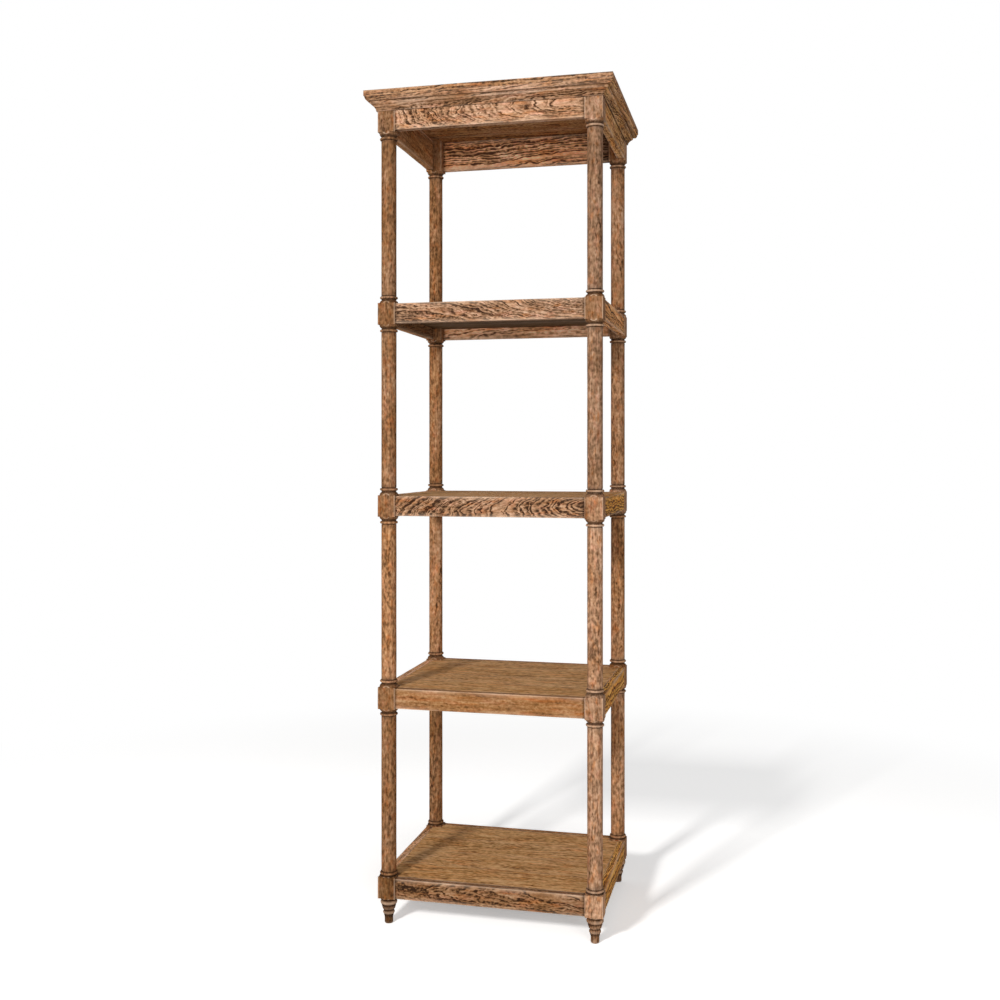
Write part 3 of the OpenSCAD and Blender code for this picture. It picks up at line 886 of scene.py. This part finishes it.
# %% A short way to write shader nodes
class Graph:
    """A node tree, with a short method for each kind of node used here."""

    def __init__(self, tree):
        self.nodes, self.link = tree.nodes, tree.links.new

    def feed(self, node, inputs):
        """Links each input to another node's output, or sets a plain value on it."""
        for socket, value in inputs.items():
            if isinstance(value, bpy.types.NodeSocket):
                self.link(value, node.inputs[socket])
            else:
                node.inputs[socket].default_value = value

    def node(self, kind, inputs, **settings):
        """Makes a node and gives back its outputs."""
        made = self.nodes.new(kind)
        for name, value in settings.items():
            setattr(made, name, value)
        self.feed(made, inputs)
        return made.outputs

    def math(self, operation, *values, **settings):
        inputs = dict(enumerate(values))
        return self.node("ShaderNodeMath", inputs, operation=operation, **settings)[0]

    def add(self, a, b, **settings):
        return self.math("ADD", a, b, **settings)

    def minus(self, a, b, **settings):
        return self.math("SUBTRACT", a, b, **settings)

    def times(self, a, b, **settings):
        return self.math("MULTIPLY", a, b, **settings)

    def vector(self, operation, *values):
        inputs = dict(enumerate(values))
        return self.node("ShaderNodeVectorMath", inputs, operation=operation)[0]

    def noise(self, place, stretch, detail, rough=0.5):
        """Noise whose cells are one over the stretch long on each axis."""
        place = self.vector("MULTIPLY", place, stretch)
        look = {"Scale": 1.0, "Detail": detail, "Roughness": rough}
        return self.node("ShaderNodeTexNoise", {"Vector": place, **look})

    def swing(self, noise, amount):
        """A noise's distance from its middle, times an amount."""
        return self.times(self.minus(noise, 0.5), amount)

    def remap(self, value, from_low, from_high, to_low, to_high, smooth=False):
        inputs = {"Value": value, "From Min": from_low, "From Max": from_high,
                  "To Min": to_low, "To Max": to_high}
        kind = "SMOOTHSTEP" if smooth else "LINEAR"
        return self.node("ShaderNodeMapRange", inputs, interpolation_type=kind)["Result"]

    def mix(self, factor, a, b, blend="MIX"):
        inputs = {0: factor, 6: a, 7: b}
        return self.node("ShaderNodeMix", inputs, data_type="RGBA", blend_type=blend)[2]

    def ramp(self, factor, stops):
        """A colour ramp from a list of (place, colour)."""
        colour = self.node("ShaderNodeValToRGB", {"Fac": factor})["Color"]
        ends = colour.node.color_ramp.elements
        while len(ends) < len(stops):
            ends.new(0.5)
        for element, (place, shade) in zip(ends, stops):
            element.position, element.color = place, (*shade, 1.0)
        return colour

    def painted(self, name):
        """What is painted on the points under one of the names log, wear and stain."""
        return self.node("ShaderNodeAttribute", {}, attribute_name=name)["Vector"]

    def bump(self, height, strength, distance):
        inputs = {"Strength": strength, "Distance": distance, "Height": height}
        return self.node("ShaderNodeBump", inputs)["Normal"]


def new_material(name):
    """A material, its graph and its main shader."""
    material = bpy.data.materials.new(name)
    material.use_nodes = True
    return material, Graph(material.node_tree), material.node_tree.nodes["Principled BSDF"]


print("a graph can", [name for name in vars(Graph) if not name.startswith("_")])

# %% [markdown]
# Noises are stretched by three numbers, for the way along the trunk and the two ways across
# it. The larger a number, the shorter the noise's cells that way, so a small first number and
# two large ones draw marks that run with the grain. After them come the layers of finer noise
# laid over the first, and how strong those are.

# %% The year rings
YEAR = 0.0034
BEND, BEND_REACH = ((2.2, 9.0, 9.0), 2.0), (0.0, 0.030, 0.030)
RIPPLE, RIPPLE_REACH = ((24.0, 52.0, 52.0), 2.0, 0.6), (0.0, 0.0095, 0.0095)
PACE_SCALE, PACE_YEARS = 0.45, 2.4
SPRING_RISE, SPRING_FALL = (0.0, 0.35, 0.0, 1.0), (0.15, 0.95, 1.0, 0.0)
YEAR_STRENGTH = (0.35, 1.15)


def bent_by(g, place, noise, reach):
    """A place moved by a noise's colour, as far as reach on each axis."""
    centred = g.vector("SUBTRACT", noise["Color"], (0.5,) * 3)
    return g.vector("MULTIPLY_ADD", centred, reach, place)


def spring_wood(g, place):
    """How much of the open, dark spring wood there is, from the place in the log."""
    bent = bent_by(g, place, g.noise(place, *BEND), BEND_REACH)
    bent = bent_by(g, bent, g.noise(place, *RIPPLE), RIPPLE_REACH)
    _, sideways, outwards = g.node("ShaderNodeSeparateXYZ", {0: bent})
    square = g.add(g.math("POWER", sideways, 2.0), g.math("POWER", outwards, 2.0))
    years = g.math("DIVIDE", g.math("SQRT", square), YEAR)
    pace = {"W": years, "Scale": PACE_SCALE, "Detail": 1.0}
    pace = g.node("ShaderNodeTexNoise", pace, noise_dimensions="1D")["Fac"]
    years = g.add(years, g.times(pace, PACE_YEARS))
    season = g.math("FRACT", years)
    year = {"W": g.math("FLOOR", years)}
    chance = g.node("ShaderNodeTexWhiteNoise", year, noise_dimensions="1D")["Value"]
    spring = g.times(g.remap(season, *SPRING_FALL, smooth=True),
                     g.remap(season, *SPRING_RISE, smooth=True))
    return g.times(spring, g.remap(chance, 0.0, 1.0, *YEAR_STRENGTH))


print(f"a year is {1000 * YEAR:.1f} mm wide")

# %% Flecks, pores and fibres
PORES, PORE_LIMITS = ((70.0, 1300.0, 1300.0), 0.0), (0.56, 0.66)
PORES_IN_SPRING, PORES_ELSEWHERE = 0.85, 0.15
FIBRES = ((12.0, 330.0, 330.0), 3.0, 0.65)
FLECK_LAYERS = (1.5, 0.6)
FLECK_LIMITS, FLECK_MORE, FLECK_LESS = (0.38, 0.60), 0.5, 0.8


def oak_figure(g, broken, spot):
    """Oak's spring wood, pores, fibres and flecks. The flecks break up the rings."""
    place = g.painted("log")
    flecks = g.noise(place, spot, *FLECK_LAYERS)["Fac"]
    most, least = 1.0 + FLECK_MORE * broken, 1.0 - FLECK_LESS * broken
    spring = g.times(spring_wood(g, place), g.remap(flecks, *FLECK_LIMITS, most, least))
    pores = g.remap(g.noise(place, *PORES)["Fac"], *PORE_LIMITS, 0.0, 1.0)
    pores = g.times(pores, g.add(g.times(spring, PORES_IN_SPRING), PORES_ELSEWHERE))
    fibres = g.noise(place, *FIBRES)["Fac"]
    return place, spring, pores, fibres, flecks


print(f"pores {1000 / PORES[0][0]:.0f} mm long")

# %% [markdown]
# ## Stain, glaze and wear
# The finish goes over the figure in the order a finisher works. A brown stain colours the
# wood, cooler and pinker where it took lightly, warmer and more orange where it took well, and
# darkest in the pores. Arrises and beads are then rubbed back until paler wood shows. Last, a
# dark glaze is wiped over and stays in grooves and joints. The surface is wire brushed, so the
# soft spring wood lies lower than the summer wood: the bump follows the rings and pores. The
# wood is nearly matt, and a little duller in the pores.

# %% Colours of the stains
def stain_ramp(*colours):
    """Four colours from dark to light, at the places that suit the figure."""
    return list(zip((0.0, 0.38, 0.68, 1.0), colours))


COOL = stain_ramp((0.050, 0.025, 0.014), (0.200, 0.108, 0.058), (0.420, 0.240, 0.140),
                  (0.690, 0.455, 0.310))
WARM = stain_ramp((0.046, 0.018, 0.006), (0.210, 0.092, 0.030), (0.420, 0.192, 0.068),
                  (0.660, 0.372, 0.172))
GOLDEN = stain_ramp((0.046, 0.018, 0.004), (0.215, 0.092, 0.018), (0.430, 0.200, 0.038),
                    (0.680, 0.385, 0.110))
# The shelf stains are painted paler than the rest, as painted light on the shelf tops.
SHELF_COOL_LIT_TOP = stain_ramp((0.070, 0.036, 0.014), (0.300, 0.160, 0.066), (0.580, 0.320, 0.140),
                        (0.860, 0.540, 0.290))
SHELF_WARM_LIT_TOP = stain_ramp((0.070, 0.030, 0.008), (0.310, 0.150, 0.048), (0.600, 0.300, 0.100),
                        (0.860, 0.510, 0.220))
GLAZE = (0.030, 0.015, 0.008, 1.0)
PINK = (1.11, 0.96, 0.98, 1.0)
RUST = (1.02, 0.74, 0.48, 1.0)
RUBBED = (0.72, 0.50, 0.35, 1.0)
print("palest cool stain", COOL[-1][1], "palest warm stain", WARM[-1][1])

# %% One oak finish
CLOUDS, CLOUD = ((7.0, 16.0, 16.0), 3.0, 0.6), 0.40
BANDS = ((10.0, 110.0, 110.0), 2.0)
BLUSH_LAYERS = (2.0, 0.6)
SPRING_DARK = 0.72
CLOUD_WARMTH = -1.4
PINK_LIMITS, RUST_LIMITS = (0.50, 0.68), (0.52, 0.70)
RUB_LIMITS, RUB_SHARE = (0.35, 0.65), (0.15, 0.75)
GLAZE_LIMITS, GLAZE_SHARE = (0.3, 0.7), (0.95, 0.65)
PORE_ROUGH, SPRING_ROUGH = 0.20, 0.10
SPECULAR = 0.06
FIBRE_HIGH, SPRING_LOW, PORE_LOW = 0.35, 0.45, 0.80
BRUSHED, BRUSHED_DEPTH = 0.7, 0.00035


def oak_finish(name, base, fleck, fibre, spot, cool=COOL, warm=WARM, matt=0.78, broken=0.65,
               tint=0.8, streak=0.85, pore=0.18, patches=(14.0, 90.0, 90.0)):
    """A stained, glazed and brushed oak that reads what is painted on a piece's points."""
    material, g, shader = new_material(name)
    place, spring, pores, fibres, flecks = oak_figure(g, broken, spot)
    tone, stain_warmth, figure = g.node("ShaderNodeSeparateXYZ", {0: g.painted("stain")})
    glazed, rubbed, _ = g.node("ShaderNodeSeparateXYZ", {0: g.painted("wear")})
    cloud = g.noise(place, *CLOUDS)["Fac"]
    bands = g.noise(place, *BANDS)["Fac"]
    light = base
    for noise, amount in ((fibres, fibre), (flecks, fleck), (bands, streak), (cloud, CLOUD)):
        light = g.add(light, g.swing(noise, amount))
    light = g.minus(light, g.times(g.times(spring, SPRING_DARK), figure))
    light = g.minus(light, g.times(pores, pore), use_clamp=True)
    warmth = g.add(stain_warmth, g.swing(cloud, CLOUD_WARMTH), use_clamp=True)
    colour = g.mix(warmth, g.ramp(light, cool), g.ramp(light, warm))
    blush = g.noise(place, patches, *BLUSH_LAYERS)["Color"]
    _, pinker, rustier = g.node("ShaderNodeSeparateColor", {0: blush})
    colour = g.mix(g.remap(pinker, *PINK_LIMITS, 0.0, tint), colour, PINK, "MULTIPLY")
    colour = g.mix(g.remap(rustier, *RUST_LIMITS, 0.0, tint), colour, RUST, "MULTIPLY")
    # On some faces the tone holds painted light and painted shade.
    grey = g.node("ShaderNodeCombineColor", {n: tone for n in range(3)})[0]
    colour = g.mix(1.0, colour, grey, "MULTIPLY")
    colour = g.mix(g.times(rubbed, g.remap(cloud, *RUB_LIMITS, *RUB_SHARE)), colour, RUBBED)
    wiped = g.remap(fibres, *GLAZE_LIMITS, *GLAZE_SHARE)
    colour = g.mix(g.times(glazed, wiped, use_clamp=True), colour, GLAZE)
    rough = g.add(matt, g.times(pores, PORE_ROUGH), use_clamp=True)
    rough = g.add(rough, g.times(spring, SPRING_ROUGH), use_clamp=True)
    height = g.minus(g.times(fibres, FIBRE_HIGH), g.times(spring, SPRING_LOW))
    height = g.minus(height, g.times(pores, PORE_LOW))
    g.feed(shader, {"Base Color": colour, "Roughness": rough, "Specular IOR Level": SPECULAR,
                    "Normal": g.bump(height, BRUSHED, BRUSHED_DEPTH)})
    return material


print(f"clouds in the stain {1000 / CLOUDS[0][0]:.0f} mm long")

# %% [markdown]
# The same recipe serves every oak piece. Turned wood shows every side of its rings, so the
# columns and blocks have broader flecks, shorter patches and fainter streaks than the rails.
# The shelves are an exception: light and dust have turned their tops a shade more yellow and
# dull, and their stains are also painted paler, as painted light for the light that falls on
# the tops from above, so they get a pair of stains of their own. So are most of the rails and
# the cornice on the right side, which the photograph shows more golden than the rest.

# %% Oak finishes for the pieces
column_oak = oak_finish("column_oak", base=0.62, fleck=0.90, fibre=0.42, spot=(85.0, 140.0, 140.0),
                        broken=0.8, tint=0.75, streak=0.55, pore=0.12, patches=(38.0, 85.0, 85.0))
block_oak = oak_finish("block_oak", base=0.62, fleck=0.75, fibre=0.35, spot=(100.0, 140.0, 140.0),
                       broken=0.8, tint=0.9, streak=0.45, pore=0.12, patches=(45.0, 90.0, 90.0))
RAIL_FIGURE = dict(base=0.74, fleck=0.70, fibre=0.48, spot=(120.0, 200.0, 200.0))
rail_oak = oak_finish("rail_oak", **RAIL_FIGURE)
golden_oak = oak_finish("golden_oak", **RAIL_FIGURE, warm=GOLDEN)
shelf_oak_lit_top = oak_finish("shelf_oak_lit_top", base=0.77, fleck=0.95, fibre=0.7, spot=(70.0, 190.0, 190.0),
                       cool=SHELF_COOL_LIT_TOP, warm=SHELF_WARM_LIT_TOP, matt=0.70, broken=0.7, tint=0.6,
                       pore=0.08)


def is_golden(piece):
    return "right" in piece.name and not piece.name.endswith("4")


straight = [*rails, *cornices, top]
finishes = [
    (column_oak, [*columns, *feet]), (block_oak, blocks), (shelf_oak_lit_top, boards),
    (golden_oak, [p for p in straight if is_golden(p)]),
    (rail_oak, [p for p in straight if not is_golden(p)]),
]
for material, pieces in finishes:
    for piece in pieces:
        piece.data.materials.append(material)
    print(material.name, "on", len(pieces), "pieces")

# %% [markdown]
# ## Inside the joints
# The dowels under the top and the steel studs in the feet stay as the packed model has them,
# since nobody sees them. They still get a finish of their own: plain beech with fine straight
# grain, and zinc-plated steel with faint turning marks.

# %% Beech dowels and steel studs
BEECH = [(0.3, (0.50, 0.33, 0.19)), (0.7, (0.68, 0.49, 0.31))]
ZINC = [(0.3, (0.50, 0.51, 0.53)), (0.7, (0.62, 0.63, 0.65))]
MARK_LIMITS, MATT_SWING = (0.3, 0.7), 0.08
MARK_LAYERS, MARK_BUMP = (3.0, 0.6), (0.3, 0.0002)


def hidden_finish(name, stretch, stops, matt, metal=0.0):
    """A plain material with fine marks along one axis."""
    material, g, shader = new_material(name)
    place = g.node("ShaderNodeTexCoord", {})["Object"]
    marks = g.noise(place, stretch, *MARK_LAYERS)["Fac"]
    rough = g.remap(marks, *MARK_LIMITS, matt - MATT_SWING, matt + MATT_SWING)
    g.feed(shader, {"Base Color": g.ramp(marks, stops), "Roughness": rough, "Metallic": metal,
                    "Normal": g.bump(marks, *MARK_BUMP)})
    return material


beech = hidden_finish("dowel_beech", (900.0, 900.0, 40.0), BEECH, 0.6)
zinc = hidden_finish("stud_zinc", (60.0, 60.0, 1500.0), ZINC, 0.35, metal=1.0)
for node_name, material in (("top_dowels", beech), ("foot_studs", zinc)):
    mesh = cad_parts[node_name].data
    mesh.materials.clear()
    mesh.materials.append(material)
print("hidden pieces finished")

# %% [markdown]
# ## Floor, light and background
# The unit stands on a white studio floor. A small softbox in front and to the left draws the
# long shadows of posts and shelves that run back to the right; its place was worked out from
# where the shadows of two shelves fall. A wide screen in front and to the right fills the
# right sides of the posts without a shadow of its own, and white walls fill the rest. The
# camera sees the background at plain white. It sees the floor paler than the unit does, with
# a little light of its own, so that the lit floor is white and the shadows stay on it. That
# light of its own is weakest in a ring just round the feet, which paints a soft shade there.

# %% Floor
FLOOR_SIDE = 60.0

floor_mesh = bpy.data.meshes.new("floor")
half = FLOOR_SIDE / 2
corners = [(-half, -half, 0), (half, -half, 0), (half, half, 0), (-half, half, 0)]
floor_mesh.from_pydata(corners, [], [(0, 1, 2, 3)])
floor = new_object("floor", floor_mesh)
print("floor", FLOOR_SIDE, "m")

# %% The floor's white
FLOOR_COLOUR, FLOOR_SEEN = 0.95, 1.60
UNDER_UNIT, BESIDE_UNIT = (0.15, 0.45), (0.5, 1.0)
LIFT_UNDER, SHADED_LIFT_NEAR, LIFT_FAR = 0.34, 0.22, 0.10
CLEAR_NEAR, CLEAR_FAR = 1.5, 2.6


def seen_straight(g):
    """1 for rays from the camera, and for those that reach it by mirror or through glass."""
    path = g.node("ShaderNodeLightPath", {})
    glossy = g.math("MAXIMUM", path["Is Camera Ray"], path["Is Glossy Ray"])
    return g.math("MAXIMUM", glossy, path["Is Transmission Ray"])


white_floor, g, _ = new_material("white_floor")
g.nodes.clear()
seen = seen_straight(g)
flat = g.vector("MULTIPLY", g.node("ShaderNodeTexCoord", {})["Object"], (1.0, 1.0, 0.0))
away = g.node("ShaderNodeVectorMath", {0: flat}, operation="LENGTH")["Value"]
white = g.remap(seen, 0.0, 1.0, FLOOR_COLOUR, FLOOR_SEEN)
paint = g.node("ShaderNodeBsdfDiffuse", {"Color": white})
# Painted shade: the floor's glow dips in a ring just round the feet.
glow_and_painted_shade = g.add(g.remap(away, *UNDER_UNIT, LIFT_UNDER, SHADED_LIFT_NEAR, smooth=True),
              g.remap(away, *BESIDE_UNIT, 0.0, LIFT_FAR, smooth=True))
lift = g.node("ShaderNodeEmission", {"Strength": g.times(seen, glow_and_painted_shade)})
lifted = g.node("ShaderNodeAddShader", {0: paint[0], 1: lift[0]})
cleared = g.times(seen, g.remap(away, CLEAR_NEAR, CLEAR_FAR, 0.0, 1.0, smooth=True))
plain = g.node("ShaderNodeEmission", {})
blend = g.node("ShaderNodeMixShader", {0: cleared, 1: lifted[0], 2: plain[0]})
g.node("ShaderNodeOutputMaterial", {"Surface": blend[0]})
floor_mesh.materials.append(white_floor)
print("floor fades to plain white between", CLEAR_NEAR, "and", CLEAR_FAR, "m")

# %% Background and softboxes
ROOM_LIGHT = 0.26
LAMP_AIM = (0.0, 0.0, 0.95)
LAMPS = dict(
    softbox=dict(place=(-1.117, -3.656, 2.25), size=(0.45, 0.45), watts=100.0,
                 colour=(1.0, 0.985, 0.965)),
    front_screen=dict(place=(1.90, -3.55, 1.55), size=(2.4, 1.4), watts=46.0,
                      colour=(1.0, 0.995, 0.985)))

world = bpy.data.worlds.new("white_room")
bpy.context.scene.world = world
world.use_nodes = True
g = Graph(world.node_tree)
strength = g.remap(seen_straight(g), 0.0, 1.0, ROOM_LIGHT, 1.0)
g.feed(g.nodes["Background"], {"Color": (1.0, 1.0, 1.0, 1.0), "Strength": strength})


def area_light(name, place, size, watts, colour):
    """A rectangular lamp that faces the middle of the unit."""
    light = bpy.data.lights.new(name, "AREA")
    light.shape = "RECTANGLE"
    light.size, light.size_y = size
    light.energy, light.color = watts, colour
    holder = new_object(name, light)
    holder.location = place
    aim = Vector(LAMP_AIM) - Vector(place)
    holder.rotation_euler = aim.to_track_quat("-Z", "Y").to_euler()


for name, lamp in LAMPS.items():
    area_light(name, **lamp)
    print(name, lamp["watts"], "W")
bpy.context.scene.view_settings.view_transform = "Standard"

# %% [markdown]
